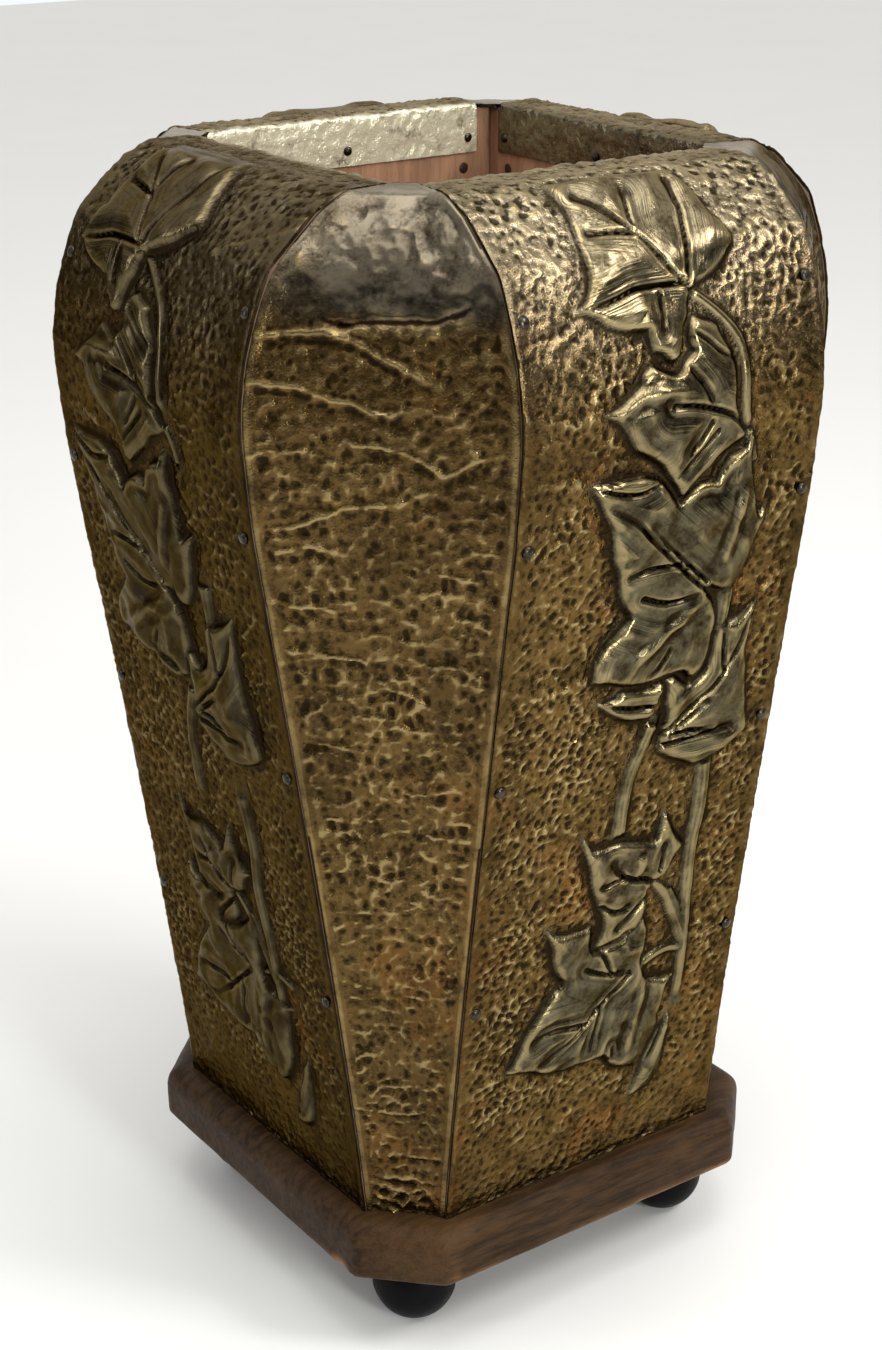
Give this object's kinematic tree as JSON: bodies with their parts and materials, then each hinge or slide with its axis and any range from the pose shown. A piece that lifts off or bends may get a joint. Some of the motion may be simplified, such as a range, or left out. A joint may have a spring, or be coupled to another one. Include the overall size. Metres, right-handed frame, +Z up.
{
  "type": "umbrella stand",
  "caption": "Square umbrella stand: a wooden box on a moulded base with ball feet, cased in embossed hammered sheet brass that swells to a high shoulder, with a lift-out drip tray.",
  "frame": {"origin": "centre of the footprint, on the floor", "axes": "+Z up; the front panel faces -Y and the left panel faces -X"},
  "size_m": [0.3362, 0.3362, 0.572],
  "materials": {
    "brass_side": "hammered and embossed sheet brass with a dark golden-brown patina and polished high spots",
    "brass_corner": "hammered and creased sheet brass with a brown patina",
    "box_wood": "planed softwood stained red-brown, matt",
    "stained_wood": "dark brown stain, satin, worn to orange at the lower edge",
    "black_wood": "turned ball, black stain, satin",
    "nail_heads": "domed nail heads, darkened, bright on the crown",
    "iron_nails": "blackened iron",
    "screws": "dull steel",
    "zinc_tray": "dull zinc-plated sheet with light spangle"
  },
  "bodies": {
    "stand": {"base_plate": "stained_wood", "foot_front_left": "black_wood", "foot_front_right": "black_wood", "foot_back_left": "black_wood", "foot_back_right": "black_wood", "wall_board_front": "box_wood", "wall_board_left": "box_wood", "wall_board_back": "box_wood", "wall_board_right": "box_wood", "rib_front_a": "box_wood", "rib_front_b": "box_wood", "rib_left_a": "box_wood", "rib_left_b": "box_wood", "rib_back_a": "box_wood", "rib_back_b": "box_wood", "rib_right_a": "box_wood", "rib_right_b": "box_wood", "rim_rail_front": "box_wood", "rim_rail_left": "box_wood", "rim_rail_back": "box_wood", "rim_rail_right": "box_wood", "side_panel_front": "brass_side", "side_panel_left": "brass_side", "side_panel_back": "brass_side", "side_panel_right": "brass_side", "corner_panel_front_left": "brass_corner", "corner_panel_front_right": "brass_corner", "corner_panel_back_left": "brass_corner", "corner_panel_back_right": "brass_corner", "panel_nails": "nail_heads", "rim_nails": "nail_heads", "rib_nails": "iron_nails", "box_nails": "iron_nails", "corner_tacks": "iron_nails", "base_screws": "screws"},
    "drip_tray": {"drip_tray": "zinc_tray"}
  },
  "joints": [
    {"name": "tray_lift", "type": "slide", "parent": "stand", "child": "drip_tray", "axis": [0, 0, 1], "range_m": [0, 0.52]}
  ]
}
